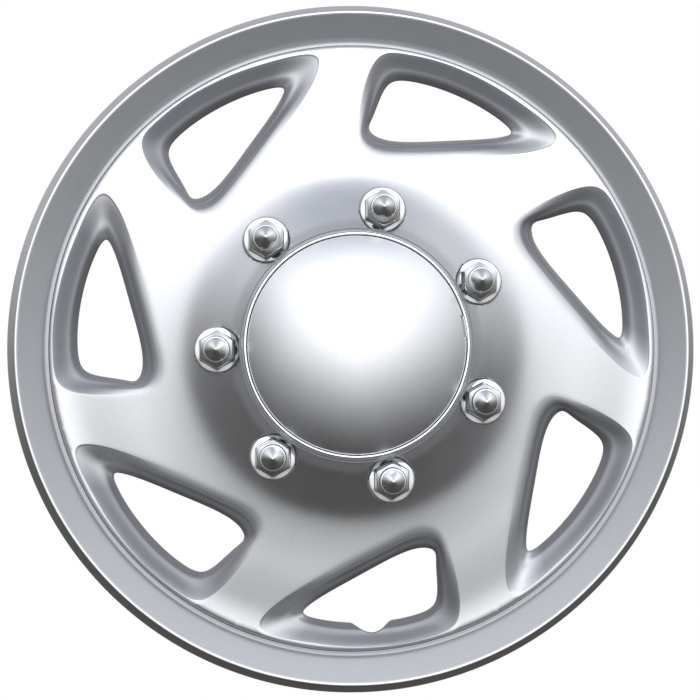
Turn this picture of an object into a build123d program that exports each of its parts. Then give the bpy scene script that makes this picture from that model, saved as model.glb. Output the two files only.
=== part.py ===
from build123d import *
import os
from math import cos, radians, sin, sqrt, tan

# Full wheel cover for a 16-inch van wheel.
# Worked out lying on its back: X to the right, Y up, Z out of the front face,
# with the origin on the wheel axis in the plane of the rear rim edge.
# Each piece is turned upright at export, so the front faces -Y and up is +Z.

# ---- sizes in millimetres, angles in degrees ----
outer_radius = 219.0
rear_edge_inner_radius = 216.2
wall = 2.5

bead_crest = (210.6, 17.6)
band_top = (207.6, 16.9)
band_middle = (201.4, 12.7)
band_foot = (195.2, 8.9)
groove_outer = (194.2, 8.2)
groove_ridge = (193.0, 9.4)
groove_inner = (191.7, 8.6)
shoulder_outer = (190.9, 12.6)
shoulder = (187.6, 15.2)
# The face climbs gently from the shoulder, then as a cone round the hub, to a collar round the centre cap.
face_curve = [
    shoulder, (181.0, 15.55), (175.0, 16.35), (169.0, 17.6), (158.0, 20.2), (147.0, 22.65), (135.0, 25.15),
    (124.0, 27.75), (113.0, 30.9), (105.0, 34.2), (97.0, 39.1), (88.0, 46.2), (79.5, 53.9)
]
collar_curve = [(75.6, 59.5), (72.0, 64.9), (68.2, 67.4)]
collar_back = (74.2, 55.6)

window_count = 7
window_pitch = 360 / window_count
first_window_angle = 19.45
pocket_depth = 13.0
pocket_mid_radius = 150.0
pocket_mid_height = 22.0
pocket_slope = 0.22
pocket_wall_drop = 4.0
# Outlines of one window as (radius, angle from the middle of the window), counter-clockwise side first.
hole_outline = [
    (171.6, 10.6), (174.2, 7.0), (174.8, 0.0), (174.4, -7.5), (173.4, -13.5), (170.2, -17.3), (165.4, -16.4),
    (156.0, -12.7), (142.0, -3.8), (133.2, 6.5), (133.6, 12.6), (138.0, 15.0), (146.0, 14.4), (162.5, 12.6)
]
pocket_outline = [
    (184.5, 13.8), (188.0, 9.0), (188.4, 1.0), (187.6, -8.0), (187.0, -16.0), (184.6, -25.0), (174.0, -24.6),
    (153.5, -18.8), (132.0, -6.5), (121.5, 6.0), (120.4, 13.8), (127.0, 17.6), (141.0, 18.0), (166.0, 16.6)
]

valve_angle = -86.3
valve_notch_radius = 8.8
valve_notch_centre = 171.5

lug_count = 7
lug_pitch = 360 / lug_count
first_lug_angle = 27.6
lug_circle_radius = 84.0
lug_seat_height = 52.5
lug_seat_thickness = 3.0
lug_seat_radius = 14.4
lug_flange_radius = 13.9
lug_flange_thickness = 2.5
lug_hex_across_flats = 20.7
lug_hex_height = 11.0
lug_hex_taper = 4.0
lug_hex_chamfer = 30.0
lug_collar_radius = 8.0
lug_collar_height = 3.0
lug_cone_radius = 6.8
lug_cone_height = 7.5
lug_stem_radius = 4.0
lug_stem_length = 10.0
stem_clearance = 0.05
push_nut_radius = 8.0
push_nut_thickness = 0.8

opening_radius = 67.9
cap_seat_height = 64.5
cap_seat_thickness = 3.0
cap_bore_radius = 58.0
cap_radius = 65.6
cap_edge_height = 68.0
cap_edge_slope = 37.0
cap_wall = 2.5
cap_spigot_clearance = 0.05
cap_spigot_wall = 2.2
cap_spigot_length = 15.0
cap_finger_count = 7
cap_finger_gap = 22.0
pry_notch_angle = 10.0
pry_notch_length = 13.0
ring_inner_radius = 65.65
ring_outer_radius = 67.6
ring_top_height = 68.7

clip_count = 14
clip_pitch = 360 / clip_count
clip_blade_radius = 191.5
clip_thickness = 0.9
clip_width = 13.4
clip_pivot_height = 4.25
clip_foot_height = 5.3
clip_barb_radius = 198.5
guide_thickness = 2.0
guide_clearance = 0.3
slot_clearance = 0.3
wire_radius = 1.8
wire_height = -8.0
wire_gap_angle = 10.0

rib_thickness = 2.0
rib_depth = 7.0
rib_angle = 21.5


def turned(sketch_edges):
    """Solid of revolution about the wheel axis from a closed chain of edges drawn as (radius, height)."""
    section = make_face(sketch_edges)
    return revolve(Plane.XZ * section, Axis.Z, 360)


def lowered(points, depth):
    """The same curve moved towards the back, so that the wall between them has an even thickness."""
    result = []
    for index, (radius, height) in enumerate(points):
        before = points[max(index - 1, 0)]
        after = points[min(index + 1, len(points) - 1)]
        slope = (after[1] - before[1]) / (after[0] - before[0])
        result.append((radius, height - depth * sqrt(1 + slope * slope)))
    return result


def window_point(radius, angle, step):
    """Point at one step of a pocket wall: step 0 is on the hole's plane, step 1 on the face's plane."""
    across = radius * cos(radians(angle))
    along = radius * sin(radians(angle))
    height = pocket_mid_height - pocket_depth * (1 - step) - pocket_slope * (across - pocket_mid_radius)
    return Vector(across, along, height)


def pocket_section(step, drop):
    """Closed outline of the pocket between the hole outline and the face outline, moved back by drop."""
    points = []
    for hole, pocket in zip(hole_outline, pocket_outline):
        low = window_point(hole[0], hole[1], 0)
        high = window_point(pocket[0], pocket[1], 1)
        points.append(low + (high - low) * step - Vector(0, 0, drop))
    return Face(Wire([Edge.make_spline(points, periodic=True)]))


def pocket_solid(first_step, last_step, drop):
    """Tapered plug that fills a pocket between two steps of its wall."""
    return loft([pocket_section(first_step, drop), pocket_section(last_step, drop)], ruled=True)


def around(shape, count, first_angle):
    """Copies of a shape spaced evenly around the wheel axis."""
    return [Rot(0, 0, first_angle + 360 / count * index) * shape for index in range(count)]


def rounded_face_edges():
    """Front of the cover from the centre opening out to the rear edge."""
    face = Spline(*(face_curve + collar_curve)[::-1])
    shoulder_arc = ThreePointArc(shoulder, (189.9, 14.4), shoulder_outer)
    groove = Polyline(shoulder_outer, groove_inner, groove_ridge, groove_outer, band_foot)
    band = ThreePointArc(band_foot, band_middle, band_top)
    bead = Spline(band_top, bead_crest, (214.4, 15.2), (218.0, 6.0), (outer_radius, 0.0))
    return [face, shoulder_arc, groove, band, bead]


def disc_blank():
    """Thin shell of the cover before windows, lug seats and posts."""
    back_curve = lowered(face_curve, wall)
    seat_back = (71.0, cap_seat_height - cap_seat_thickness)
    back_face = Spline(*back_curve, collar_back, seat_back)
    back_rim = Polyline(
        (outer_radius, 0.0), (rear_edge_inner_radius, 0.0), (215.2, 6.0), (212.4, 12.9), (210.2, 14.6),
        (202.8, 10.6), (195.6, 6.0), (189.8, 6.0), (188.4, 9.6), back_curve[0]
    )
    top_of_face = collar_curve[-1]
    centre = Polyline(
        seat_back, (cap_bore_radius, cap_seat_height - cap_seat_thickness), (cap_bore_radius, cap_seat_height),
        (opening_radius, cap_seat_height), (opening_radius, top_of_face[1]), top_of_face
    )
    return turned(rounded_face_edges() + [back_rim, back_face, centre])


def solid_behind_face():
    """Everything behind the front face, used to trim walls flush with it."""
    face = Spline(*face_curve, *collar_curve)
    top = collar_curve[-1]
    limit = shoulder_outer[0] - 0.7
    close = Polyline(top, (60.0, top[1]), (60.0, -6.0), (limit, -6.0), (limit, shoulder_outer[1]), shoulder)
    return turned([face, close])


def lug_places():
    places = []
    for index in range(lug_count):
        angle = first_lug_angle + lug_pitch * index
        x = lug_circle_radius * cos(radians(angle))
        y = lug_circle_radius * sin(radians(angle))
        places.append((x, y))
    return places


def upright_cylinder(x, y, radius, low, high):
    return Pos(x, y, low) * Cylinder(radius, high - low, align=(Align.CENTER, Align.CENTER, Align.MIN))


def add_lug_seats(disc, behind):
    """Seven flat seats: pads that stand out of the face on the rim side and sink into it on the hub side."""
    pad_back = lug_seat_height - lug_seat_thickness
    for x, y in lug_places():
        disc += upright_cylinder(x, y, lug_flange_radius - 0.3, 38.0, lug_seat_height)
        disc += upright_cylinder(x, y, lug_seat_radius + 2.2, pad_back, 80.0) & behind
        disc -= upright_cylinder(x, y, lug_seat_radius, lug_seat_height, 90.0)
        disc -= upright_cylinder(x, y, lug_flange_radius - 2.7, 20.0, pad_back)
        disc -= upright_cylinder(x, y, lug_stem_radius + stem_clearance, 20.0, 90.0)
    disc -= upright_cylinder(0, 0, opening_radius, cap_seat_height, 90.0)
    disc -= upright_cylinder(0, 0, cap_bore_radius, 30.0, 90.0)
    return disc


def clip_guide():
    """One guide for a retention clip: two C-shaped cheeks that hold the wire, and a slot for the clip's foot."""
    inner = clip_blade_radius - 5.5
    shoulder_z = wire_height + wire_radius + 0.2
    hook_z = wire_height - wire_radius - 0.3
    hook_in = clip_blade_radius - 1.9
    hook_out = clip_blade_radius + 0.4
    outer = clip_blade_radius + 4.0
    cheek_outline = Polyline(
        (inner, 14.0), (inner, shoulder_z), (hook_out, shoulder_z), (hook_out, hook_z), (hook_in, hook_z),
        (hook_in, hook_z - 1.8), (outer, hook_z - 1.8), (outer, 7.4), (191.0, 7.6), (190.0, 12.0), (inner, 14.0)
    )
    cheek = extrude(Plane.XZ * make_face(cheek_outline), guide_thickness / 2, both=True)
    offset = clip_width / 2 + guide_clearance + guide_thickness / 2
    guide = Pos(0, offset, 0) * cheek + Pos(0, -offset, 0) * cheek
    half_gap = clip_thickness / 2 + slot_clearance
    low = clip_pivot_height - 1.5
    length = 2 * offset
    for side in (-1, 1):
        middle = clip_blade_radius + side * (half_gap + 0.9)
        guide += Pos(middle, 0, (low + 7.4) / 2) * Box(1.8, length, 7.4 - low)
    return guide


def wheel_disc():
    disc = disc_blank()
    behind = solid_behind_face()
    first_step = pocket_wall_drop / pocket_depth
    plug = pocket_solid(first_step, 1.4, pocket_wall_drop) & behind
    cavity = pocket_solid(-0.05, 1.4, 0.0)
    disc += around(plug, window_count, first_window_angle)
    rib = Pos(144.0, 0, 20.0) * Box(92.0, rib_thickness, 60.0) & behind
    rib -= Pos(0, 0, -rib_depth) * behind
    disc += around(rib, window_count, first_window_angle + rib_angle)
    disc -= around(cavity, window_count, first_window_angle)
    notch = upright_cylinder(valve_notch_centre, 0, valve_notch_radius, -5.0, 30.0)
    disc -= Rot(0, 0, valve_angle) * notch
    disc = add_lug_seats(disc, behind)
    disc += around(clip_guide(), clip_count, valve_angle + clip_pitch / 2)
    return disc


def centre_cap():
    """Snap-in domed cap: a thin dome, a rim that sits on the seat, and a slotted spigot in the bore."""
    ball = cap_radius / sin(radians(cap_edge_slope))
    crown = cap_edge_height + ball * (1 - cos(radians(cap_edge_slope)))
    half = cap_edge_slope / 2
    mid_point = (ball * sin(radians(half)), crown - ball * (1 - cos(radians(half))))
    inner_ball = ball - cap_wall
    inner_edge = cap_radius - 2.4
    inner_drop = inner_ball - sqrt(inner_ball * inner_ball - inner_edge * inner_edge)
    inner_mid = inner_edge / 2
    inner_mid_drop = inner_ball - sqrt(inner_ball * inner_ball - inner_mid * inner_mid)
    inner_crown = crown - cap_wall
    spigot_outer = cap_bore_radius - cap_spigot_clearance
    spigot_inner = spigot_outer - cap_spigot_wall
    spigot_end = cap_seat_height - cap_spigot_length
    edges = [
        ThreePointArc((0, crown), mid_point, (cap_radius, cap_edge_height)),
        Polyline(
            (cap_radius, cap_edge_height), (cap_radius, cap_seat_height), (spigot_outer, cap_seat_height),
            (spigot_outer, spigot_end), (spigot_inner, spigot_end), (spigot_inner, cap_seat_height + 2.2),
            (inner_edge, cap_seat_height + 2.2), (inner_edge, inner_crown - inner_drop)
        ),
        ThreePointArc(
            (inner_edge, inner_crown - inner_drop), (inner_mid, inner_crown - inner_mid_drop), (0, inner_crown)
        ),
        Line((0, inner_crown), (0, crown)),
    ]
    cap = turned(edges)
    slot_low = spigot_end - 1.0
    slot_high = cap_seat_height - 1.5
    slot_middle = (slot_low + slot_high) / 2
    slot = Pos(spigot_outer, 0, slot_middle) * Box(12.0, cap_finger_gap, slot_high - slot_low)
    cap -= around(slot, cap_finger_count, first_lug_angle)
    notch = Pos(cap_radius, 0, cap_edge_height) * Box(3.0, pry_notch_length, 2.4)
    cap -= Rot(0, 0, pry_notch_angle) * notch
    return cap


def centre_cap_trim_ring():
    """Plated ring that shows as a bright line round the centre cap."""
    middle = (ring_inner_radius + ring_outer_radius) / 2
    edges = [
        Polyline(
            (ring_inner_radius, ring_top_height - 0.9), (ring_inner_radius, cap_seat_height),
            (ring_outer_radius, cap_seat_height), (ring_outer_radius, ring_top_height - 0.9)
        ),
        ThreePointArc(
            (ring_outer_radius, ring_top_height - 0.9), (middle, ring_top_height),
            (ring_inner_radius, ring_top_height - 0.9)
        ),
    ]
    return turned(edges)


def lug_cap(x, y):
    """Plated imitation wheel nut: flange, hexagon, collar and cone, with a stem through the seat."""
    flange_top = lug_seat_height + lug_flange_thickness
    hex_top = flange_top + lug_hex_height
    collar_top = hex_top + lug_collar_height
    flange = upright_cylinder(0, 0, lug_flange_radius, lug_seat_height, flange_top)
    flange = fillet(flange.edges().sort_by(Axis.Z)[-1], 1.1)
    outline = RegularPolygon(lug_hex_across_flats / 2, 6, major_radius=False, rotation=30)
    hexagon = extrude(outline, lug_hex_height, taper=lug_hex_taper)
    chamfer_top = lug_collar_radius + 0.3
    chamfer_foot = chamfer_top + lug_hex_height / tan(radians(lug_hex_chamfer))
    hexagon = hexagon & Cone(
        chamfer_foot, chamfer_top, lug_hex_height, align=(Align.CENTER, Align.CENTER, Align.MIN)
    )
    cap = flange + Pos(0, 0, flange_top) * hexagon
    cap += upright_cylinder(0, 0, lug_collar_radius, hex_top - 0.5, collar_top)
    cone = Cone(lug_cone_radius, 0.5, lug_cone_height, align=(Align.CENTER, Align.CENTER, Align.MIN))
    cap += Pos(0, 0, collar_top) * cone
    cap += upright_cylinder(0, 0, lug_stem_radius, lug_seat_height - lug_stem_length, lug_seat_height)
    return Pos(x, y, 0) * cap


def push_nut(x, y):
    """Sprung washer that grips a lug cap's stem behind its seat."""
    top = lug_seat_height - lug_seat_thickness
    nut = upright_cylinder(0, 0, push_nut_radius, top - push_nut_thickness, top)
    nut -= upright_cylinder(0, 0, lug_stem_radius + stem_clearance, top - 5.0, top + 5.0)
    return Pos(x, y, 0) * nut


def retention_clip():
    """Spring-steel strip: a blade from the foot to the barb that grips inside the wheel's rim."""
    half = clip_thickness / 2
    barb = clip_barb_radius - half
    path = Polyline(
        (clip_blade_radius, clip_foot_height), (clip_blade_radius, wire_height - 4.0),
        (barb, wire_height - 7.5), (clip_blade_radius + 1.6, wire_height - 11.5)
    )
    strip = offset(path, amount=half, side=Side.BOTH, kind=Kind.INTERSECTION)
    return extrude(Plane.XZ * make_face(strip), clip_width / 2, both=True)


def tension_ring():
    """Open spring wire that pushes all the clips outwards, with its gap at the valve."""
    centre_radius = clip_blade_radius - clip_thickness / 2 - wire_radius - 0.05
    half_gap = wire_gap_angle / 2
    section = Plane.XZ * (Pos(centre_radius, wire_height) * Circle(wire_radius))
    ring = revolve(section, Axis.Z, 360 - wire_gap_angle)
    return Rot(0, 0, valve_angle + half_gap) * ring


def save(shape, name):
    """Turn a piece upright and write it as parts/NAME.step."""
    upright = Rot(90, 0, 0) * shape
    solids = upright.solids()
    whole = solids[0] if len(solids) == 1 else Compound(solids)
    whole.label = name
    export_step(whole, f"parts/{name}.step")
    print(name, len(solids), round(sum(solid.volume for solid in solids) / 1000, 2), "cm3", whole.is_valid)


os.makedirs("parts", exist_ok=True)
save(wheel_disc(), "wheel_disc")
save(centre_cap(), "centre_cap")
save(centre_cap_trim_ring(), "centre_cap_trim_ring")
for number, (x, y) in enumerate(lug_places(), 1):
    save(lug_cap(x, y), f"lug_cap_{number}")
    save(push_nut(x, y), f"lug_push_nut_{number}")
for number, clip in enumerate(around(retention_clip(), clip_count, valve_angle + clip_pitch / 2), 1):
    save(clip, f"retention_clip_{number}")
save(tension_ring(), "tension_ring")
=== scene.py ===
from math import cos, pi, radians, sin, sqrt, tan

import bmesh
import bpy
import numpy as np
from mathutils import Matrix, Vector
from mathutils.geometry import delaunay_2d_cdt


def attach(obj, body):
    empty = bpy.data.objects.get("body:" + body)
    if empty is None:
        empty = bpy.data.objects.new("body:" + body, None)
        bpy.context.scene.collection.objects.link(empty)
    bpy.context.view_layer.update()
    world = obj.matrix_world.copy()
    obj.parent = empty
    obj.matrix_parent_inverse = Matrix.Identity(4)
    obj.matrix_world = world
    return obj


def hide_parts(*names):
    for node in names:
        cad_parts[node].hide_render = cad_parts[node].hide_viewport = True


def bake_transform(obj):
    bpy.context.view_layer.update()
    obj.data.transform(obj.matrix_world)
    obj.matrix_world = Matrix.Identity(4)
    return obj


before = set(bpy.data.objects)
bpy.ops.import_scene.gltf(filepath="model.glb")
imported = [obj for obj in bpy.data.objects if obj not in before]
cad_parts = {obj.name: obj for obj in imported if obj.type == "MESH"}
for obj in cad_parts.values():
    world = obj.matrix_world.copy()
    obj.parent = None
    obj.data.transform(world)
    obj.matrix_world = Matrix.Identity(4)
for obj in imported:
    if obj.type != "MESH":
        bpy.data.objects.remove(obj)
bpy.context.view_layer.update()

# Shapes are worked out in millimetres with the cover lying on its back:
# x right, y up, z out of the front face. upright() turns them into the frame.
MM = 0.001

# Angles are degrees round the wheel, counted from the right. Outlines are (radius, angle), profiles (radius, height).
WINDOWS = 7
PITCH = 360 / WINDOWS
FIRST_WINDOW = 19.45
FIRST_LUG = 27.6
VALVE = -86.3
WALL = 2.4

FACE = [
    (68.2, 65.3), (72.0, 62.2), (75.6, 58.95), (79.5, 55.3), (88.0, 47.4), (97.0, 39.6), (105.0, 34.2), (113.0, 30.9),
    (124.0, 27.75), (135.0, 25.15), (147.0, 22.65), (158.0, 20.2), (169.0, 17.6), (175.0, 16.35), (181.0, 15.55),
    (187.6, 15.2)
]
FACE_START, FACE_TOP = FACE[0]
SHOULDER = FACE[-1][0]
HUB_EDGE = 68.6
HOLE = [
    (171.6, 10.6), (174.2, 7.0), (174.8, 0.0), (174.4, -7.5), (173.4, -13.5), (170.2, -17.3), (165.4, -16.4),
    (156.0, -12.7), (142.0, -3.8), (133.2, 6.5), (133.6, 12.6), (138.0, 15.0), (146.0, 14.4), (162.5, 12.6)
]
POCKET = [
    (184.5, 13.8), (188.0, 9.0), (188.4, 1.0), (187.6, -8.0), (187.0, -16.0), (184.6, -25.0), (174.0, -24.6),
    (153.5, -18.8), (132.0, -6.5), (121.5, 6.0), (120.4, 13.8), (127.0, 17.6), (141.0, 18.0), (166.0, 16.6)
]
LUG_CIRCLE = 84.0
LUG_SEAT = 52.5
LUG_OFFSET = FIRST_LUG - FIRST_WINDOW
FACE_RIM = 190.2


# ---------------------------------------------------------------- helpers
def polar(radius, angle):
    return np.array([radius * np.cos(np.radians(angle)), radius * np.sin(np.radians(angle))])


def upright(points):
    """Row frame, metres: the front faces -Y and up is +Z."""
    p = np.asarray(points, float)
    return np.column_stack([p[:, 0], -p[:, 2], p[:, 1]]) * MM


def smooth_curve(knots, values, periodic=False):
    """Cubic spline through the values; returns a function of the knot parameter."""
    t = np.asarray(knots, float)
    v = np.asarray(values, float)
    if v.ndim == 1:
        v = v[:, None]
    if periodic:
        n = len(t) - 1
        h = np.diff(t)
        matrix = np.zeros((n, n))
        right = np.zeros((n, v.shape[1]))
        for i in range(n):
            before = h[i - 1]
            after = h[i]
            matrix[i, (i - 1) % n] += before
            matrix[i, i] += 2 * (before + after)
            matrix[i, (i + 1) % n] += after
            right[i] = 6 * ((v[i + 1] - v[i]) / after - (v[i] - v[i - 1 if i else n - 1]) / before)
        bend = np.linalg.solve(matrix, right)
        bend = np.vstack([bend, bend[:1]])
    else:
        n = len(t)
        h = np.diff(t)
        matrix = np.zeros((n, n))
        right = np.zeros((n, v.shape[1]))
        matrix[0, :3] = (h[1], -(h[0] + h[1]), h[0])
        matrix[-1, -3:] = (h[-1], -(h[-2] + h[-1]), h[-2])
        for i in range(1, n - 1):
            matrix[i, i - 1:i + 2] = (h[i - 1], 2 * (h[i - 1] + h[i]), h[i])
            right[i] = 6 * ((v[i + 1] - v[i]) / h[i] - (v[i] - v[i - 1]) / h[i - 1])
        bend = np.linalg.solve(matrix, right)

    def value(x):
        x = np.atleast_1d(np.asarray(x, float))
        i = np.clip(np.searchsorted(t, x, side="right") - 1, 0, len(t) - 2)
        w = (t[i + 1] - t[i])
        a = ((t[i + 1] - x) / w)[:, None]
        b = ((x - t[i]) / w)[:, None]
        cubic = ((a ** 3 - a) * bend[i] + (b ** 3 - b) * bend[i + 1]) * (w ** 2)[:, None] / 6
        return a * v[i] + b * v[i + 1] + cubic

    return value


face_spline = smooth_curve([p[0] for p in FACE], [p[1] for p in FACE])


def face_height(radius):
    """Height of the smooth front face; past the shoulder it rolls over towards the groove."""
    r = np.atleast_1d(np.asarray(radius, float))
    z = face_spline(np.clip(r, FACE_START, SHOULDER))[:, 0]
    z = np.where(r < FACE_START, FACE_TOP + (FACE_START - r) * 0.3, z)
    over = np.clip(r - SHOULDER, 0, None)
    return z - 0.03 * over - 0.12 * over ** 2


def mesh_object(name, points, faces, materials, shade=None):
    """Smooth mesh in the frame; shade is an optional 0..1 painted-shade value per point that a material can read."""
    mesh = bpy.data.meshes.new(name)
    mesh.from_pydata([tuple(p) for p in upright(points)], [], [tuple(int(i) for i in f) for f in faces])
    if shade is not None:
        mesh.attributes.new("painted_shade", "FLOAT", "POINT").data.foreach_set("value", [float(v) for v in shade])
    mesh.validate()
    mesh.update()
    mesh.polygons.foreach_set("use_smooth", [True] * len(mesh.polygons))
    for material in materials:
        mesh.materials.append(material)
    obj = bpy.data.objects.new(name, mesh)
    bpy.context.scene.collection.objects.link(obj)
    return obj


def lathe(name, profile, materials, segments, closed=False):
    """Solid of revolution about the z axis through profile points (radius, height)."""
    profile = np.asarray(profile, float)
    rows = len(profile)
    points = []
    faces = []
    for s in range(segments):
        angle = 2 * pi * s / segments
        for r, z in profile:
            points.append((r * cos(angle), r * sin(angle), z))
    last = rows if closed else rows - 1
    for s in range(segments):
        a = s * rows
        b = ((s + 1) % segments) * rows
        for i in range(last):
            j = (i + 1) % rows
            faces.append((a + i, a + j, b + j, b + i))
    return mesh_object(name, points, faces, materials)


def arc(centre, radius, first, last, count):
    """Points along an arc, angles in degrees."""
    angles = np.radians(np.linspace(first, last, count))
    return [(centre[0] + radius * cos(a), centre[1] + radius * sin(a)) for a in angles]


def bevelled(obj, width):
    """Round the sharp edges of a moulded detail."""
    mod = obj.modifiers.new("bevel", "BEVEL")
    mod.width = width * MM
    mod.segments = 2
    mod.limit_method = "ANGLE"
    mod.angle_limit = radians(35)
    mod.harden_normals = False


# ---------------------------------------------------------------- node materials
# Sockets of a Mix node that is set to RGBA.
COLOUR_A, COLOUR_B, COLOUR_OUT = 6, 7, 2


class Nodes:
    """Short way to write a node material."""

    def __init__(self, name):
        self.material = bpy.data.materials.new(name)
        self.material.use_nodes = True
        self.tree = self.material.node_tree
        self.shader = self.tree.nodes["Principled BSDF"]

    def add(self, kind, **values):
        node = self.tree.nodes.new(kind)
        for key, value in values.items():
            setattr(node, key, value)
        return node

    def link(self, source, target):
        self.tree.links.new(source, target)

    def set(self, **values):
        for key, value in values.items():
            self.shader.inputs[key.replace("_", " ")].default_value = value

    def place(self, scale=(1.0, 1.0, 1.0)):
        """Object coordinates in metres, times scale."""
        coords = self.add("ShaderNodeTexCoord")
        mapping = self.add("ShaderNodeMapping")
        mapping.inputs["Scale"].default_value = scale
        self.link(coords.outputs["Object"], mapping.inputs["Vector"])
        return mapping.outputs["Vector"]

    def noise(self, scale, detail=2.0, rough=0.5):
        node = self.add("ShaderNodeTexNoise")
        node.inputs["Scale"].default_value = scale
        node.inputs["Detail"].default_value = detail
        node.inputs["Roughness"].default_value = rough
        self.link(self.place(), node.inputs["Vector"])
        return node.outputs["Fac"]

    def ramp(self, source, stops):
        node = self.add("ShaderNodeValToRGB")
        elements = node.color_ramp.elements
        while len(elements) < len(stops):
            elements.new(0.5)
        for element, (position, colour) in zip(elements, stops):
            element.position = position
            element.color = (*colour, 1.0)
        self.link(source, node.inputs["Fac"])
        return node.outputs["Color"]

    def spread(self, source, low, high):
        node = self.add("ShaderNodeMapRange")
        node.inputs["To Min"].default_value = low
        node.inputs["To Max"].default_value = high
        self.link(source, node.inputs["Value"])
        return node.outputs["Result"]

    def bump(self, source, strength, distance):
        node = self.add("ShaderNodeBump")
        node.inputs["Strength"].default_value = strength
        node.inputs["Distance"].default_value = distance
        self.link(source, node.inputs["Height"])
        self.link(node.outputs["Normal"], self.shader.inputs["Normal"])

    def multiplied(self, first, second):
        """Two colours multiplied."""
        mix = self.add("ShaderNodeMix", data_type="RGBA", blend_type="MULTIPLY")
        mix.inputs["Factor"].default_value = 1.0
        self.link(first, mix.inputs[COLOUR_A])
        self.link(second, mix.inputs[COLOUR_B])
        return mix.outputs[COLOUR_OUT]


def silver_lacquer(name, paints_shade=False):
    """Metallic silver lacquer: fine flake, slight mottling and orange peel; optionally painted darker and duller by a
    per-point painted-shade value.
    """
    m = Nodes(name)
    m.set(Metallic=1.0, Coat_Weight=0.25, Coat_Roughness=0.12)
    flake = m.noise(2600.0, 1.0)
    cloud = m.noise(60.0, 3.0)
    finish_colour = m.multiplied(m.ramp(flake, [(0.3, (0.57, 0.58, 0.60)), (0.7, (0.67, 0.68, 0.70))]),
                                 m.ramp(cloud, [(0.3, (0.975, 0.975, 0.975)), (0.7, (1.0, 1.0, 1.0))]))
    if paints_shade:
        # Painted shade: a per-point value of 1 paints the lacquer down to about a third of its brightness and makes it
        # less metallic.
        painted_shade_fac = m.add("ShaderNodeAttribute", attribute_name="painted_shade").outputs["Fac"]
        finish_colour = m.multiplied(finish_colour, m.ramp(painted_shade_fac, [(0.0, (1.0, 1.0, 1.0)), (1.0, (0.32, 0.325, 0.34))]))
        m.link(m.spread(painted_shade_fac, 1.0, 0.4), m.shader.inputs["Metallic"])
    m.link(finish_colour, m.shader.inputs["Base Color"])
    m.link(m.spread(cloud, 0.30, 0.36), m.shader.inputs["Roughness"])
    m.bump(m.noise(420.0, 2.0), 0.05, 0.0002)
    return m.material


def moulded_back(name):
    """Unpainted grey ABS with a fine grain and lighter overspray patches."""
    m = Nodes(name)
    m.set(Specular_IOR_Level=0.4)
    cloud = m.noise(22.0, 4.0, 0.6)
    grain = m.noise(900.0, 2.0)
    m.link(m.ramp(cloud, [(0.35, (0.27, 0.275, 0.285)), (0.62, (0.32, 0.325, 0.335)), (0.8, (0.40, 0.405, 0.415))]),
           m.shader.inputs["Base Color"])
    m.link(m.spread(grain, 0.42, 0.62), m.shader.inputs["Roughness"])
    m.bump(grain, 0.12, 0.0003)
    return m.material


def chrome(name, hazy, clean):
    """Bright chrome plate on moulded plastic, with faint ripple and handling haze."""
    m = Nodes(name)
    m.set(Metallic=1.0)
    haze = m.noise(90.0, 3.0)
    m.link(m.ramp(haze, [(0.35, hazy), (0.7, clean)]), m.shader.inputs["Base Color"])
    m.link(m.spread(haze, 0.02, 0.06), m.shader.inputs["Roughness"])
    m.bump(m.noise(160.0, 1.0), 0.04, 0.0004)
    return m.material


def steel(name, dark, light, rough_low, rough_high):
    """Rolled spring steel with fine streaks and patchy tint."""
    m = Nodes(name)
    m.set(Metallic=1.0)
    streak = m.add("ShaderNodeTexNoise")
    streak.inputs["Scale"].default_value = 1.0
    streak.inputs["Detail"].default_value = 3.0
    m.link(m.place((500.0, 60.0, 500.0)), streak.inputs["Vector"])
    patch = m.noise(70.0, 3.0)
    mix = m.add("ShaderNodeMix", data_type="RGBA", blend_type="MIX")
    m.link(patch, mix.inputs["Factor"])
    m.link(m.ramp(streak.outputs["Fac"], [(0.3, dark), (0.7, light)]), mix.inputs[COLOUR_A])
    mix.inputs[COLOUR_B].default_value = (*[(a + b) / 2 for a, b in zip(dark, light)], 1.0)
    m.link(mix.outputs[COLOUR_OUT], m.shader.inputs["Base Color"])
    m.link(m.spread(streak.outputs["Fac"], rough_low, rough_high), m.shader.inputs["Roughness"])
    m.bump(streak.outputs["Fac"], 0.08, 0.0002)
    return m.material


paint = silver_lacquer("silver_lacquer", paints_shade=True)
cap_paint = silver_lacquer("silver_lacquer_cap")
back_plastic = moulded_back("moulded_back")
ring_chrome = chrome("ring_chrome", (0.86, 0.87, 0.88), (0.93, 0.935, 0.94))
lug_chrome = chrome("lug_chrome", (0.58, 0.59, 0.60), (0.65, 0.655, 0.66))
clip_steel = steel("clip_steel", (0.20, 0.21, 0.23), (0.42, 0.43, 0.46), 0.25, 0.42)
wire_steel = steel("wire_steel", (0.48, 0.48, 0.47), (0.70, 0.70, 0.69), 0.22, 0.38)
nut_steel = steel("nut_steel", (0.50, 0.49, 0.44), (0.68, 0.67, 0.62), 0.25, 0.40)


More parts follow.
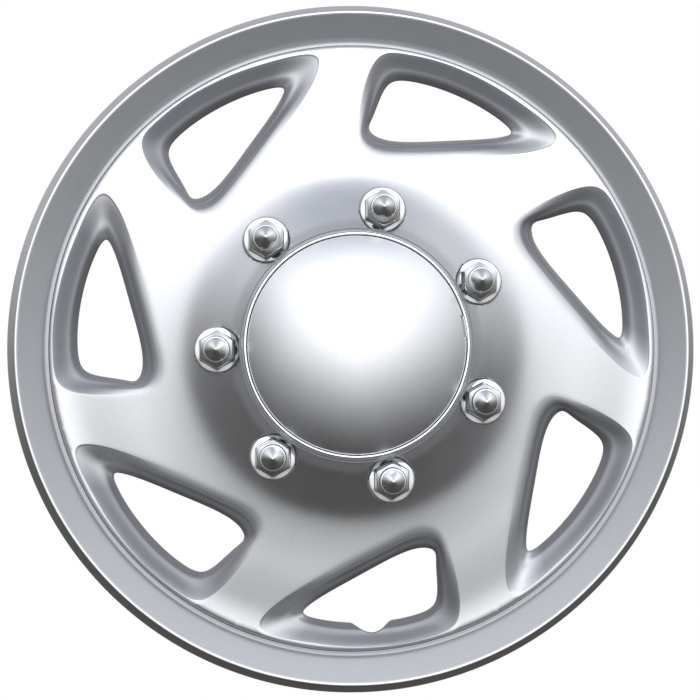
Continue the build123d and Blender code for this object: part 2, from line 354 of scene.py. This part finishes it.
# ---------------------------------------------------------------- window outlines
def window_outlines(count):
    """Hole edge, pocket edge and end of the pocket's rounding, as points at even steps round the window."""
    hole = np.array([polar(r, a) for r, a in HOLE])
    pocket = np.array([polar(r, a) for r, a in POCKET])
    hole_loop = np.vstack([hole, hole[:1]])
    pocket_loop = np.vstack([pocket, pocket[:1]])
    steps = np.hypot(*np.diff((hole_loop + pocket_loop) / 2, axis=0).T) ** 0.6
    knots = np.concatenate([[0], np.cumsum(steps)])
    hole_curve = smooth_curve(knots, hole_loop, periodic=True)
    pocket_curve = smooth_curve(knots, pocket_loop, periodic=True)
    fine = np.linspace(0, knots[-1], 2000)
    mid = (hole_curve(fine) + pocket_curve(fine)) / 2
    length = np.concatenate([[0], np.cumsum(np.hypot(*np.diff(mid, axis=0).T))])
    even = np.interp(np.linspace(0, length[-1], count, endpoint=False), length, fine)
    inner = hole_curve(even)
    edge = pocket_curve(even)
    outward = edge - inner
    width = np.hypot(*outward.T)
    softness = hub_side(edge, outward)
    end = edge + outward * ((2.5 + 4.0 * softness) / width)[:, None]
    radius = np.hypot(*end.T)
    end *= (np.minimum(radius, FACE_RIM - 0.6) / radius)[:, None]
    return inner, edge, end, softness


def hub_side(edge, outward):
    """1 where the pocket's wall lies on the hub side of the window, 0 on the rim side."""
    radial = np.sum(edge * outward, axis=1) / np.hypot(*edge.T) / np.hypot(*outward.T)
    share = np.clip(0.5 - 0.7 * radial, 0, 1)
    return share * share * (3 - 2 * share)


def wall_shape(t, softness):
    """Share of the full pocket depth at t: 0 at the hole edge, 1 at the pocket edge, 2 past the rounding.
    Two steep tiers with a narrow ledge between them; the upper edge is broad and soft on the hub side."""
    stops = [0.0, 0.10, 0.22, 0.30, 0.38, 0.50, 0.66, 0.80, 0.92, 1.05, 1.2, 1.6, 2.0]
    soft = [1.0, 0.83, 0.63, 0.55, 0.50, 0.37, 0.155, 0.075, 0.040, 0.020, 0.010, 0.001, 0.0]
    crisp = [1.0, 0.83, 0.63, 0.55, 0.51, 0.43, 0.29, 0.165, 0.070, 0.010, 0.0, 0.0, 0.0]
    x = np.clip(t, 0, 2)
    depth = softness * smooth_curve(stops, soft)(x)[:, 0] + (1 - softness) * smooth_curve(stops, crisp)(x)[:, 0]
    return np.clip(depth, 0, 1)


def painted_shade(t, softness, width):
    """Painted shade at t across the pocket wall: 1 down in the pocket, 0 on the face.
    The painted shade is weaker in the pocket's long shallow tip."""
    soft = np.interp(t, [0.0, 0.4, 0.55, 0.7, 0.85, 1.0, 1.3, 1.7], [1.0, 0.95, 0.78, 0.55, 0.34, 0.2, 0.06, 0.0])
    crisp = np.interp(t, [0.0, 0.94, 1.0, 1.06, 1.18], [1.0, 1.0, 0.7, 0.25, 0.0])
    shallow = np.clip((width - 17.0) / 9.0, 0, 1)
    return (softness * soft + (1 - softness) * crisp) * (1 - 0.5 * shallow)


# ---------------------------------------------------------------- the moulded cover
LOOP = 240
RIM_STEPS = 672
HUB_STEPS = 48
NOTCH_DEPTH = 5.6
NOTCH_HALF = 13.5
STEM_HOLE = 4.3
BAND_FOOT, BAND_Z, BAND_SLOPE = 194.9, 9.62, 0.64
SECTOR_LOW = -29.43
SECTOR_HIGH = SECTOR_LOW + PITCH
T_LEVELS = np.concatenate([np.linspace(0, 1, 17), 1 + np.linspace(0.1, 1, 10)])


def hole_floor(points):
    """Height of a window's edge."""
    return 9.0 - 0.22 * (points[:, 0] - 150.0)


def pocket_loops(notch_angle=None):
    """Rings of points (x, y, z) for one window, from the folded hole edge out to the plain face."""
    inner, edge, end, softness = window_outlines(LOOP)
    outward = edge - inner
    width = np.hypot(*outward.T)
    start = np.zeros(LOOP)
    if notch_angle is not None:
        ahead = polar(1.0, notch_angle)
        side = np.abs(inner @ np.array([-ahead[1], ahead[0]])) / NOTCH_HALF
        bump = NOTCH_DEPTH * (0.5 + 0.5 * np.cos(pi * np.clip(side, 0, 1))) ** 0.8
        start = np.where(np.hypot(*inner.T) > 160, bump, 0) / width
    full_depth = face_height(np.hypot(*inner.T)) - hole_floor(inner)
    rings = []
    shades = []
    for level in T_LEVELS:
        t = np.maximum(start + (1 - start) * level, level) if level < 1 else np.full(LOOP, level)
        near = inner + outward * np.minimum(t, 1)[:, None]
        point = near + (end - edge) * np.clip(t - 1, 0, 1)[:, None]
        z = face_height(np.hypot(*point.T)) - full_depth * wall_shape(t, softness)
        rings.append(np.column_stack([point, z]))
        # Painted shade down the pocket wall, standing in for the shade in the window's recess.
        shades.append(painted_shade(t, softness, width))
    inwards = -outward / width[:, None]
    first = rings[0]
    lip = []
    # The folded lip at the hole edge gets full painted shade.
    for reach, drop in ((0.12, 1.6), (0.12, 0.7), (0.07, 0.2)):
        lip.append(np.column_stack([first[:, :2] + inwards * reach, first[:, 2] - drop]))
    return lip + rings, np.concatenate([np.ones(LOOP * len(lip))] + shades)


def lug_loops():
    """Rings of points round one lug seat, from the stem hole out to the plain face."""
    centre = polar(LUG_CIRCLE, LUG_OFFSET)
    angles = np.linspace(0, 360, 96, endpoint=False)
    to_hub = np.cos(np.radians(angles - LUG_OFFSET - 180))
    wall = 14.4 + 0.15 * to_hub
    rings = []

    def ring(radius, height):
        x = centre[0] + radius * np.cos(np.radians(angles))
        y = centre[1] + radius * np.sin(np.radians(angles))
        return np.column_stack([x, y, np.broadcast_to(height, x.shape)])

    rings.append(ring(STEM_HOLE, LUG_SEAT))
    rings.append(ring(wall - 0.5, LUG_SEAT))
    base = ring(wall, 0.0)
    face = face_height(np.hypot(base[:, 0], base[:, 1]))
    step = face - LUG_SEAT
    round_off = np.sign(step) * np.minimum(0.6, np.abs(step) * 0.5)
    rim_edge = face - round_off
    for share in (0.02, 0.3, 0.6, 0.9):
        rings.append(ring(wall, LUG_SEAT + (rim_edge - LUG_SEAT) * share))
    rounding = 0.7
    for s in (0.0, 0.03, 0.1, 0.2, 0.35, 0.5, rounding):
        out = ring(wall + s, 0.0)
        drop = 1 - sqrt(max(0.0, 1 - (1 - s / rounding) ** 2))
        rings.append(ring(wall + s, face_height(np.hypot(out[:, 0], out[:, 1])) - round_off * drop))
    # The seat floor and lower wall get painted shade, making a dark gap line round the lug cap's flange.
    return rings, np.repeat([1.0, 1.0, 1.0, 0.6, 0.35, 0.2, 0.2, 0.1] + [0.0] * 5, len(angles))


def inside(points, polygon):
    """Which points lie inside a closed polygon."""
    result = np.zeros(len(points), bool)
    x, y = points.T
    px, py = polygon.T
    j = len(polygon) - 1
    for i in range(len(polygon)):
        crosses = (py[i] > y) != (py[j] > y)
        at = (px[j] - px[i]) * (y - py[i]) / (py[j] - py[i] + 1e-12) + px[i]
        result ^= crosses & (x < at)
        j = i
    return result


def plain_face(window_end, lug_end):
    """Triangles of the smooth face between one window, one lug seat and the sector's borders."""
    radial = np.linspace(HUB_EDGE, FACE_RIM, 66)
    low = np.array([polar(r, SECTOR_LOW) for r in radial])
    high = np.array([polar(r, SECTOR_HIGH) for r in radial])
    outer = np.array([polar(FACE_RIM, a) for a in np.linspace(SECTOR_LOW, SECTOR_HIGH, RIM_STEPS // WINDOWS + 1)])
    centre = np.array([polar(HUB_EDGE, a) for a in np.linspace(SECTOR_LOW, SECTOR_HIGH, HUB_STEPS + 1)])
    border = np.vstack([low[:-1], outer[:-1], high[::-1][:-1], centre[::-1][:-1]])
    loops = [border, window_end, lug_end]
    fixed = np.vstack(loops)

    def on_plain_face(p):
        return inside(p, border) & ~inside(p, window_end) & ~inside(p, lug_end)

    fill = []
    for row, r in enumerate(np.arange(HUB_EDGE + 1.6, FACE_RIM - 1.0, 1.75)):
        count = max(8, int(radians(PITCH) * r / 1.9))
        shift = 0.5 if row % 2 else 0.25
        for a in (np.arange(count) + shift) / count * PITCH + SECTOR_LOW:
            fill.append(polar(r, a))
    fill = np.array(fill)
    fill = fill[on_plain_face(fill)]
    gap = np.min(np.hypot(fill[:, None, 0] - fixed[None, :, 0], fill[:, None, 1] - fixed[None, :, 1]), axis=1)
    fill = fill[gap > 1.0]
    edges = []
    at = 0
    for loop in loops:
        n = len(loop)
        edges += [(at + i, at + (i + 1) % n) for i in range(n)]
        at += n
    every = np.vstack([fixed, fill])
    points, _, faces, *_ = delaunay_2d_cdt([Vector(p) for p in every], edges, [], 0, 1e-5)
    points = np.array([(p[0], p[1]) for p in points])
    faces = np.array([f for f in faces if len(f) == 3])
    middles = points[faces].mean(axis=1)
    a, b, c = (points[faces[:, i]] for i in range(3))
    area = np.abs((b[:, 0] - a[:, 0]) * (c[:, 1] - a[:, 1]) - (b[:, 1] - a[:, 1]) * (c[:, 0] - a[:, 0])) / 2
    # Slivers with all their corners on the sector's border would show as dark dots along the seam.
    flat_on_border = (faces < len(border)).all(axis=1) & (area < 0.005)
    good = on_plain_face(middles) & ~flat_on_border
    z = face_height(np.hypot(*points.T))
    return np.column_stack([points, z]), faces[good]


def rim_profile():
    """Groove, conical band, bead and outer wall, from the face out to the rear edge."""
    start = (FACE_RIM, float(face_height(FACE_RIM)[0]))
    groove = [
        start, (190.45, 13.5), (190.65, 12.2), (190.8, 10.2), (190.95, 8.6), (191.15, 8.2), (191.35, 8.6), (191.6, 9.0),
        (192.0, 9.1), (192.6, 9.0), (193.2, 8.95), (193.8, 9.05), (194.4, 9.3), (BAND_FOOT, BAND_Z)
    ]
    band = [(BAND_FOOT + s, BAND_Z + BAND_SLOPE * s) for s in np.linspace(0.5, 15.0, 20)]
    last = band[-1]
    knots = [last, (210.5, 19.45), (211.2, 19.4), (212.0, 18.6), (213.0, 16.7), (214.6, 13.0), (216.3, 9.2),
             (217.6, 5.8), (218.5, 2.6), (218.95, 0.0)]
    steps = np.concatenate([[0], np.cumsum(np.hypot(*np.diff(np.array(knots), axis=0).T))])
    bead = smooth_curve(steps, knots)(np.linspace(0, steps[-1], 36))[1:]
    return np.array(groove + band + [tuple(p) for p in bead])


def cover_sheet():
    """Front surface of the whole moulding: points, faces and the painted shade at each point."""
    points = []
    faces = []
    shades = []

    def add(new_points, new_faces, shade=None):
        base = sum(len(p) for p in points)
        points.append(new_points)
        shades.append(np.zeros(len(new_points)) if shade is None else shade)
        faces.extend([tuple(i + base for i in f) for f in new_faces])

    def strip(rings):
        count = len(rings[0])
        quads = []
        for row in range(len(rings) - 1):
            for i in range(count):
                j = (i + 1) % count
                a, b = row * count + i, row * count + j
                quads.append((a, a + count, b + count, b))
        return np.vstack(rings), quads

    def level_rings(profile, angles):
        return [np.column_stack([r * np.cos(angles), r * np.sin(angles), np.full(len(angles), z)]) for r, z in profile]

    def turned(p, angle):
        c, s = cos(radians(angle)), sin(radians(angle))
        return np.column_stack([p[:, 0] * c - p[:, 1] * s, p[:, 0] * s + p[:, 1] * c, p[:, 2]])

    lug, lug_shade = lug_loops()
    plain_points, plain_faces = plain_face(pocket_loops()[0][-1][:, :2], lug[-1][:, :2])
    # Painted shade on the face next to the cap ring, fading out by 78 mm.
    cap_ring_painted_shade = np.interp(np.hypot(*plain_points[:, :2].T), [HUB_EDGE, 74.5, 76.5, 78.0], [0.7, 0.5, 0.15, 0.0])
    for k in range(WINDOWS):
        angle = FIRST_WINDOW + PITCH * k
        offset = (VALVE - angle + 180) % 360 - 180
        window, window_shade = pocket_loops(offset if abs(offset) < PITCH / 2 else None)
        add(turned(plain_points, angle), plain_faces, cap_ring_painted_shade)
        p, f = strip(window)
        add(turned(p, angle), [q[::-1] for q in f] if loop_turns_back(window[0]) else f, window_shade)
        p, f = strip(lug)
        add(turned(p, angle), f, lug_shade)
    steps = np.radians(FIRST_WINDOW + SECTOR_LOW + np.arange(RIM_STEPS) * 360 / RIM_STEPS)
    p, f = strip(level_rings(rim_profile(), steps))
    # Painted shade: dark in the groove's slot and V, and the whole conical band painted darker and duller; the band's
    # darkening stands in partly for a darker band finish and partly for the dim reflections it picks up. None on the
    # bead and outer wall.
    rim_shade = np.interp(np.hypot(p[:, 0], p[:, 1]), [190.3, 190.7, 191.3, 191.7, 192.6, 194.0, 209.6, 210.5],
                          [0.0, 0.8, 0.8, 0.5, 0.6, 0.72, 0.72, 0.0])
    add(p, f, rim_shade)
    steps = np.radians(FIRST_WINDOW + SECTOR_LOW + np.arange(HUB_STEPS * WINDOWS) * PITCH / HUB_STEPS)
    # The hub lip under the cap ring gets painted shade, darkest at its foot.
    hub_lip = [(67.9, 63.9), (67.9, 64.9), (67.97, 65.15), (68.1, 65.25), (HUB_EDGE, float(face_height(HUB_EDGE)[0]))]
    p, f = strip(level_rings(hub_lip, steps))
    add(p, f, np.repeat([1.0, 1.0, 0.95, 0.85, 0.7], len(steps)))
    return np.vstack(points), faces, np.concatenate(shades)


def loop_turns_back(loop):
    """True where a loop of points runs clockwise."""
    x, y = loop[:, 0], loop[:, 1]
    return np.sum(x * np.roll(y, -1) - np.roll(x, -1) * y) < 0


def welded(obj, distance):
    """Join points closer than the distance and turn all faces the same way."""
    bm = bmesh.new()
    bm.from_mesh(obj.data)
    bmesh.ops.remove_doubles(bm, verts=bm.verts, dist=distance * MM)
    bmesh.ops.recalc_face_normals(bm, faces=bm.faces)
    bm.normal_update()
    bm.to_mesh(obj.data)
    bm.free()
    obj.data.update()


sheet_points, sheet_faces, sheet_shade = cover_sheet()
shell = mesh_object("wheel_disc_shell", sheet_points, sheet_faces, [paint, back_plastic], sheet_shade)
welded(shell, 0.002)
normals = np.array([p.normal for p in shell.data.polygons])
if normals[:, 1].mean() > 0:
    shell.data.flip_normals()
thick = shell.modifiers.new("thickness", "SOLIDIFY")
thick.thickness = WALL * MM
thick.offset = -1
thick.material_offset = 1
thick.use_even_offset = False
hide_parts("wheel_disc")
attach(shell, "cover")


# ---------------------------------------------------------------- moulded details on the back
def block(name, outline, sides, angle, bevel=0.25):
    """Flat plate with a (radius, height) outline, between two offsets to the side, at an angle round the wheel."""
    bm = bmesh.new()
    direction = polar(1.0, angle)
    side = np.array([-direction[1], direction[0]])
    layers = []
    for offset in sides:
        flat = np.array([[*(direction * r + side * offset), z] for r, z in outline])
        layers.append([bm.verts.new(p) for p in upright(flat)])
    bm.faces.new(layers[0])
    bm.faces.new(layers[1][::-1])
    count = len(outline)
    for i in range(count):
        j = (i + 1) % count
        bm.faces.new((layers[0][j], layers[0][i], layers[1][i], layers[1][j]))
    bmesh.ops.recalc_face_normals(bm, faces=bm.faces)
    mesh = bpy.data.meshes.new(name)
    bm.to_mesh(mesh)
    bm.free()
    mesh.materials.append(back_plastic)
    obj = bpy.data.objects.new(name, mesh)
    bpy.context.scene.collection.objects.link(obj)
    if bevel:
        bevelled(obj, bevel)
    return obj


def joined(objects, name):
    """Apply the pieces' modifiers and make them one object."""
    graph = bpy.context.evaluated_depsgraph_get()
    bm = bmesh.new()
    for obj in objects:
        evaluated = obj.evaluated_get(graph)
        mesh = evaluated.to_mesh()
        bm.from_mesh(mesh)
        evaluated.to_mesh_clear()
    mesh = bpy.data.meshes.new(name)
    bm.to_mesh(mesh)
    bm.free()
    mesh.materials.append(objects[0].data.materials[0])
    for obj in objects:
        old = obj.data
        bpy.data.objects.remove(obj)
        bpy.data.meshes.remove(old)
    result = bpy.data.objects.new(name, mesh)
    bpy.context.scene.collection.objects.link(result)
    return result


# BLADE is the clip blades' radius; the wire of radius WIRE_R runs on WIRE_CIRCLE at height WIRE_Z.
CLIPS = 14
CLIP_PITCH = 360 / CLIPS
BLADE = 191.5
WIRE_Z = -8.0
WIRE_R = 1.8
WIRE_CIRCLE = 189.2
WIRE_GAP_HALF = 5.0

guides = []
cheek = [
    (186.0, -5.6), (BLADE + 0.4, -5.6), (BLADE + 0.4, -10.1), (BLADE - 1.9, -10.1),
    (BLADE - 1.9, -11.9), (BLADE + 4.0, -11.9), (BLADE + 4.0, 7.4), (191.2, 7.4), (190.0, 12.0), (186.0, 14.0)
]
for c in range(CLIPS):
    angle = VALVE + CLIP_PITCH * (c + 0.5)
    for side in (-1, 1):
        guides.append(block("cheek", cheek, sorted((side * 7.0, side * 9.0)), angle))
        foot = BLADE + side * 1.65
        slot_wall = [(foot - 0.9, 2.75), (foot + 0.9, 2.75), (foot + 0.9, 7.3), (foot - 0.9, 7.3)]
        guides.append(block("slot_wall", slot_wall, (-7.4, 7.4), angle, 0.2))
guide_set = joined(guides, "wheel_disc_clip_guides")

ribs = []
for k in range(WINDOWS):
    angle = FIRST_WINDOW + PITCH * k + 21.5
    radii = np.linspace(98.0, 188.5, 24)
    heights = face_height(radii)
    outline = [(r, z - 1.2) for r, z in zip(radii, heights)]
    outline += [(r, z - 7.0) for r, z in zip(radii[::-1], heights[::-1])]
    ribs.append(block("rib", outline, (-1.0, 1.0), angle))
rib_set = joined(ribs, "wheel_disc_ribs")

bosses = []
for k in range(WINDOWS):
    centre = polar(LUG_CIRCLE, FIRST_LUG + PITCH * k)
    profile = [(13.6, 51.0), (13.6, 38.3), (13.3, 38.0), (11.5, 38.0), (11.2, 38.3), (11.2, 49.2), (10.6, 49.5),
               (4.6, 49.5), (STEM_HOLE, 49.8), (STEM_HOLE, 51.0)]
    tube = lathe("boss", profile, [back_plastic], 64, closed=True)
    for vertex in tube.data.vertices:
        vertex.co.x += centre[0] * MM
        vertex.co.z += centre[1] * MM
    bosses.append(tube)
boss_set = joined(bosses, "wheel_disc_lug_bosses")

seat = lathe("wheel_disc_cap_seat", [
    (67.9, 64.8), (67.5, 64.5), (58.3, 64.5), (58.0, 64.2), (58.0, 61.8), (58.3, 61.5), (71.0, 61.5), (70.6, 62.3)
], [back_plastic], 224, closed=True)
for piece in (guide_set, rib_set, boss_set, seat):
    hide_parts("wheel_disc")
    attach(piece, "cover")


# ---------------------------------------------------------------- centre cap and its ring
CAP_R = 65.6
CAP_EDGE = 68.0
CAP_ARC = radians(37)
CAP_WALL = 2.5
ball = CAP_R / sin(CAP_ARC)
crown = CAP_EDGE + ball * (1 - cos(CAP_ARC))
dome = [(ball * sin(a), crown - ball * (1 - cos(a))) for a in np.radians(np.linspace(0.02, 36.9, 70))]
dome += [(65.55, 67.95), (65.59, 67.8), (65.6, 67.2), (65.6, 64.5)]
painted_rows = len(dome)
dome += [(57.95, 64.5), (57.95, 49.8), (57.6, 49.5), (56.0, 49.5), (55.75, 49.8), (55.75, 66.2), (56.2, 66.7),
         (62.4, 66.7)]
inside_ball = ball - CAP_WALL
dome += [(inside_ball * sin(a), crown - ball + inside_ball * cos(a)) for a in np.radians(np.linspace(35.9, 0.02, 50))]
cap = lathe("centre_cap_dome", dome, [cap_paint, back_plastic], 336)
rows = len(dome) - 1
cap.data.polygons.foreach_set("material_index", [int(i % rows >= painted_rows) for i in range(len(cap.data.polygons))])
welded(cap, 0.05)

cutters = []
finger_gap = [(50.0, 40.0), (62.0, 40.0), (62.0, 63.0), (50.0, 63.0)]
for k in range(WINDOWS):
    cutters.append(block("gap", finger_gap, (-11.0, 11.0), FIRST_LUG + PITCH * k, 0))
pry_notch = [(64.1, 66.8), (67.0, 66.8), (67.0, 69.5), (64.1, 69.5)]
cutters.append(block("notch", pry_notch, (-6.5, 6.5), 10.0, 0))
cutter = joined(cutters, "cap_cutter")
cut = cap.modifiers.new("finger_gaps", "BOOLEAN")
cut.operation = "DIFFERENCE"
cut.object = cutter
cut.solver = "EXACT"
graph = bpy.context.evaluated_depsgraph_get()
cut_mesh = bpy.data.meshes.new_from_object(cap.evaluated_get(graph))
cap.modifiers.clear()
cap.data = cut_mesh
bpy.data.objects.remove(cutter)

ring = lathe("centre_cap_ring", [(65.65, 64.5), (67.6, 64.5), (67.6, 67.8)] + arc((66.85, 67.9), 0.75, 0, 180, 16) +
             [(66.1, 66.6), (65.65, 66.3)], [ring_chrome], 336, closed=True)
for piece, part, slot_name in ((cap, "centre_cap", "cap_lacquer"), (ring, "centre_cap_trim_ring", "ring_chrome")):
    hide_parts(part)
    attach(piece, "cap")


# ---------------------------------------------------------------- lug caps
HEX_HALF = 10.35
HEX_FOOT = 55.0
HEX_TAPER = 0.0068


def softer_min(first, second, sharpness):
    """The smaller of two radii, with the corner between them rounded."""
    return -np.log(np.exp(-sharpness * first) + np.exp(-sharpness * second)) / sharpness


def lug_cap(number, x, y):
    """Plated wheel-nut cap: flange, softly edged hexagon, collar and pointed cone."""
    segments = 192
    angle = np.linspace(0, 2 * pi, segments, endpoint=False)
    to_flat = (angle + pi / 6) % (pi / 3) - pi / 6
    hexagon = HEX_HALF / np.cos(to_flat)
    corner = HEX_HALF / cos(pi / 6)
    hexagon = softer_min(hexagon, corner - 0.25, 14.0)

    def circle(r):
        return np.full(segments, r)

    def circles(profile):
        return [(circle(r), z) for r, z in profile]

    levels = circles([(4.0, 42.5), (4.0, 52.4), (13.3, 52.5), (13.75, 52.7), (13.9, 53.1), (13.9, 53.5), (13.75, 53.9),
                      (13.4, 54.2), (12.9, 54.35)])
    levels += [(hexagon + 0.45, 54.7), (hexagon + 0.2, 54.8), (hexagon + 0.04, HEX_FOOT)]
    for z in np.linspace(55.4, 63.0, 6):
        levels.append((hexagon * (1 - HEX_TAPER * (z - HEX_FOOT)), z))
    for z in np.linspace(63.4, 65.9, 16):
        side = hexagon * (1 - HEX_TAPER * (z - HEX_FOOT))
        chamfer = circle(8.5 + (66.0 - z) / tan(radians(34)))
        levels.append((softer_min(side, chamfer, 12), z))
    levels += circles([(8.5, 66.0), (8.2, 66.15), (8.05, 66.45), (8.0, 67.0), (7.95, 69.2), (7.8, 69.6), (7.5, 69.85),
                       (7.1, 69.95), (6.9, 70.05), (6.8, 70.2)])
    for step in np.linspace(0.08, 1.0, 12):
        levels.append((circle(6.8 - 6.3 * step + 0.25 * sin(pi * step)), 70.2 + 5.0 * step))
    levels += circles([(0.3, 75.28), (0.02, 75.32)])
    points = []
    for radius, z in levels:
        points.append(np.column_stack([x + radius * np.cos(angle), y + radius * np.sin(angle), np.full(segments, z)]))
    faces = []
    for row in range(len(levels) - 1):
        for i in range(segments):
            j = (i + 1) % segments
            a, b = row * segments + i, row * segments + j
            faces.append((a, b, b + segments, a + segments))
    cap_object = mesh_object(f"lug_cap_{number}_plated", np.vstack(points), faces, [lug_chrome])
    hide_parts(f"lug_cap_{number}")
    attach(cap_object, "cover")


for k in range(WINDOWS):
    lug_cap(k + 1, *polar(LUG_CIRCLE, FIRST_LUG + PITCH * k))


# ---------------------------------------------------------------- tension ring, clips and push nuts
def wire_arc(number, side):
    """Half of the tension ring's stretch at one clip: it goes inward with the clip and stays on the cover midway.
    The two lengths at the ring's gap ride their clips whole."""
    middle = VALVE + CLIP_PITCH * (number - 0.5)
    at_gap = (number == 1 and side < 0) or (number == CLIPS and side > 0)
    reach = side * (CLIP_PITCH / 2 - (WIRE_GAP_HALF if at_gap else 0.0))
    points = []
    faces = []
    around = 20
    along = 12
    for angle in middle + np.linspace(0, reach, along + 1):
        for turn in np.linspace(0, 2 * pi, around, endpoint=False):
            place = polar(WIRE_CIRCLE + WIRE_R * cos(turn), angle)
            points.append((place[0], place[1], WIRE_Z + WIRE_R * sin(turn)))
    for step in range(along):
        for i in range(around):
            j = (i + 1) % around
            a = step * around
            face = (a + i, a + j, a + around + j, a + around + i)
            faces.append(face if side > 0 else face[::-1])
    ends = [tuple(range(around))[::-1], tuple(range(along * around, (along + 1) * around))]
    faces += ends if side > 0 else [end[::-1] for end in ends]
    where = "after" if side > 0 else "before"
    arc_object = mesh_object(f"tension_ring_arc_{number}_{where}", np.array(points), faces, [wire_steel])
    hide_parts("tension_ring")
    if at_gap:
        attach(arc_object, f"clip_{number}")
    else:
        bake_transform(arc_object)


for number in range(1, CLIPS + 1):
    for side in (-1, 1):
        wire_arc(number, side)

for name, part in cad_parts.items():
    if name.startswith("retention_clip"):
        finish_material = clip_steel
    elif name.startswith("lug_push_nut"):
        finish_material = nut_steel
    else:
        continue
    for slot_item in part.material_slots:
        slot_item.material = finish_material


# ---------------------------------------------------------------- floor, light, camera
floor_mesh = bpy.data.meshes.new("floor")
bm = bmesh.new()
for x, y in ((-0.8, -0.8), (0.8, -0.8), (0.8, 0.8), (-0.8, 0.8)):
    bm.verts.new((x, y, -0.52))
bm.faces.new(bm.verts)
bm.to_mesh(floor_mesh)
bm.free()
floor = bpy.data.objects.new("floor", floor_mesh)
bpy.context.scene.collection.objects.link(floor)
pale = Nodes("pale_floor")
pale.set(Roughness=0.9)
pale.link(pale.ramp(pale.noise(30.0, 3.0), [(0.3, (0.80, 0.80, 0.80)), (0.7, (0.84, 0.84, 0.84))]),
          pale.shader.inputs["Base Color"])
floor_mesh.materials.append(pale.material)
floor.visible_glossy = False
floor.visible_diffuse = False

world = bpy.data.worlds.new("studio")
bpy.context.scene.world = world
world.use_nodes = True
tree = world.node_tree
tree.nodes.clear()


def node(kind, **values):
    made = tree.nodes.new(kind)
    for key, value in values.items():
        setattr(made, key, value)
    return made


def maths(operation, *inputs):
    made = node("ShaderNodeMath", operation=operation)
    for index, value in enumerate(inputs):
        if isinstance(value, (int, float)):
            made.inputs[index].default_value = value
        else:
            tree.links.new(value, made.inputs[index])
    return made.outputs[0]


def ramped(source, stops):
    made = node("ShaderNodeValToRGB")
    made.color_ramp.interpolation = "LINEAR"
    elements = made.color_ramp.elements
    while len(elements) < len(stops):
        elements.new(0.5)
    for element, (position, colour) in zip(elements, stops):
        element.position = position
        element.color = (*colour, 1.0)
    tree.links.new(source, made.inputs["Fac"])
    return made.outputs["Color"]


coords = node("ShaderNodeTexCoord")
parts = node("ShaderNodeSeparateXYZ")
tree.links.new(coords.outputs["Generated"], parts.inputs[0])
right, away, up = parts.outputs


def grey(v):
    return v, v, v


def half(source):
    """From -1..1 to 0..1."""
    return maths("MULTIPLY_ADD", source, 0.5, 0.5)


def mixed(blend, a, b):
    made = node("ShaderNodeMix", data_type="RGBA", blend_type=blend)
    made.inputs["Factor"].default_value = 1.0
    tree.links.new(a, made.inputs[COLOUR_A])
    tree.links.new(b, made.inputs[COLOUR_B])
    return made.outputs[COLOUR_OUT]


# A large soft light hangs in front of the cover and above it; behind the cover the studio is dim.
# The camera itself sees plain white.
lift, swing = radians(32), radians(5)
toward = maths("ADD", maths("MULTIPLY", away, -cos(lift) * cos(swing)), maths("MULTIPLY", up, sin(lift)))
toward = maths("ADD", toward, maths("MULTIPLY", right, sin(swing)))
glow = ramped(half(toward), [
    (0.45, grey(0.34)), (0.50, grey(0.55)), (0.60, grey(0.86)), (0.70, grey(1.0)), (0.80, grey(1.16)), (1.0, grey(1.12))
])
by_height = ramped(half(up), [
    (0.0, (0.11, 0.11, 0.109)), (0.2, (0.458, 0.46, 0.462)), (0.35, (0.85, 0.857, 0.865)), (0.5, (1.42, 1.42, 1.43)),
    (0.65, (1.74, 1.75, 1.79)), (0.8, (2.0, 2.02, 2.08)), (0.93, (1.08, 1.11, 1.17)), (0.965, (0.62, 0.65, 0.72)),
    (1.0, (0.22, 0.24, 0.29))
])
by_side = ramped(half(right), [
    (0.0, grey(0.08)), (0.03, grey(0.2)), (0.06, grey(0.36)), (0.1, grey(0.50)), (0.25, grey(0.84)), (0.37, grey(1.02)),
    (0.5, grey(1.36)), (0.75, grey(0.88)), (0.86, grey(0.66)), (0.95, grey(0.5)), (1.0, grey(0.25))
])
in_front = ramped(half(away), [(0.42, grey(1.0)), (0.56, grey(0.0))])
room = ramped(half(up), [
    (0.0, (0.07, 0.066, 0.06)), (0.40, (0.12, 0.117, 0.112)), (0.5, (0.28, 0.28, 0.285)), (0.62, (0.58, 0.585, 0.60)),
    (1.0, (0.52, 0.53, 0.56))
])
behind = ramped(half(away), [(0.38, grey(0.35)), (0.52, grey(1.0))])
light = mixed("MULTIPLY", mixed("MULTIPLY", glow, by_height), mixed("MULTIPLY", by_side, in_front))
surroundings = mixed("ADD", light, mixed("MULTIPLY", room, behind))
studio = node("ShaderNodeBackground")
tree.links.new(surroundings, studio.inputs["Color"])
plain_white = node("ShaderNodeBackground")
plain_white.inputs["Color"].default_value = (1, 1, 1, 1)
chooser = node("ShaderNodeMixShader")
path = node("ShaderNodeLightPath")
tree.links.new(path.outputs["Is Camera Ray"], chooser.inputs[0])
tree.links.new(studio.outputs[0], chooser.inputs[1])
tree.links.new(plain_white.outputs[0], chooser.inputs[2])
output = node("ShaderNodeOutputWorld")
tree.links.new(chooser.outputs[0], output.inputs["Surface"])

CAMERA_DISTANCE = 1.05
camera_data = bpy.data.cameras.new("camera")
camera = bpy.data.objects.new("camera", camera_data)
bpy.context.scene.collection.objects.link(camera)
to_left, to_below = radians(2.2), radians(1.36)
outlook = Vector((-sin(to_left) * cos(to_below), -cos(to_left) * cos(to_below), -sin(to_below)))
camera.location = outlook * CAMERA_DISTANCE
aim = Vector((-0.0018, 0.0, -0.0015))
camera.rotation_euler = (aim - camera.location).to_track_quat("-Z", "Y").to_euler()
camera_data.sensor_width = 36.0
camera_data.lens = 84.65
camera_data.clip_start = 0.05
bpy.context.scene.camera = camera
bpy.context.scene.view_settings.view_transform = "Standard"
